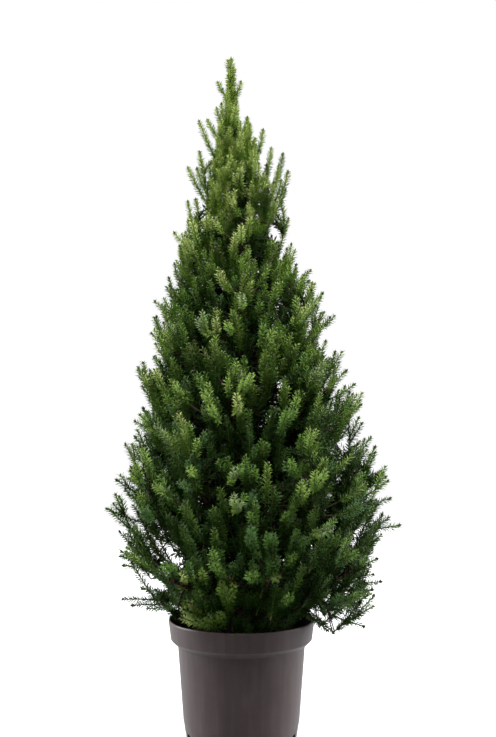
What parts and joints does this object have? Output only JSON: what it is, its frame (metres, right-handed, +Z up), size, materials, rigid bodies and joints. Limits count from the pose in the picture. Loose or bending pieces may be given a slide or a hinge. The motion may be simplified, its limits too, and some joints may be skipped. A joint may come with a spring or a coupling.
{
  "type": "potted dwarf spruce",
  "caption": "Dense conical dwarf spruce with one leading shoot, growing in a round nursery pot; it stands on the pot's flat base indoors, on a patio or by a doorway.",
  "frame": {"origin": "centre of the pot's flat underside", "axes": "+Z up along the trunk; +X to the crown's fuller side, which is on the right when the plant is looked at along +Y"},
  "size_m": [0.5479, 0.5262, 1.312],
  "materials": {
    "pot_plastic": "injection-moulded taupe plastic with a soft sheen",
    "potting_mix": "damp crumbly peat and bark",
    "bark": "thin scaly grey-brown bark",
    "needles": "short fine green needles with a slight waxy sheen"
  },
  "bodies": {
    "root": {"bough_low_1": "bark", "bough_low_2": "bark", "bough_low_3": "bark", "bough_low_4": "bark", "bough_low_5": "bark", "bough_low_6": "bark", "bough_low_7": "bark", "bough_middle_1": "bark", "bough_middle_2": "bark", "bough_middle_3": "bark", "bough_middle_4": "bark", "bough_middle_5": "bark", "bough_middle_6": "bark", "bough_skirt_1": "bark", "bough_skirt_2": "bark", "bough_skirt_3": "bark", "bough_skirt_4": "bark", "bough_skirt_5": "bark", "bough_skirt_6": "bark", "bough_skirt_7": "bark", "foliage_leader": "needles", "foliage_low_1": "needles", "foliage_low_2": "needles", "foliage_low_3": "needles", "foliage_low_4": "needles", "foliage_low_5": "needles", "foliage_low_6": "needles", "foliage_low_7": "needles", "foliage_middle_1": "needles", "foliage_middle_2": "needles", "foliage_middle_3": "needles", "foliage_middle_4": "needles", "foliage_middle_5": "needles", "foliage_middle_6": "needles", "foliage_shoulder_1": "needles", "foliage_shoulder_2": "needles", "foliage_shoulder_3": "needles", "foliage_shoulder_4": "needles", "foliage_shoulder_5": "needles", "foliage_skirt_1": "needles", "foliage_skirt_2": "needles", "foliage_skirt_3": "needles", "foliage_skirt_4": "needles", "foliage_skirt_5": "needles", "foliage_skirt_6": "needles", "foliage_skirt_7": "needles", "foliage_top_1": "needles", "foliage_top_2": "needles", "foliage_top_3": "needles", "foliage_upper_1": "needles", "foliage_upper_2": "needles", "foliage_upper_3": "needles", "foliage_upper_4": "needles", "pot": "pot_plastic", "potting_mix": "potting_mix", "trunk": "bark"}
  },
  "joints": []
}
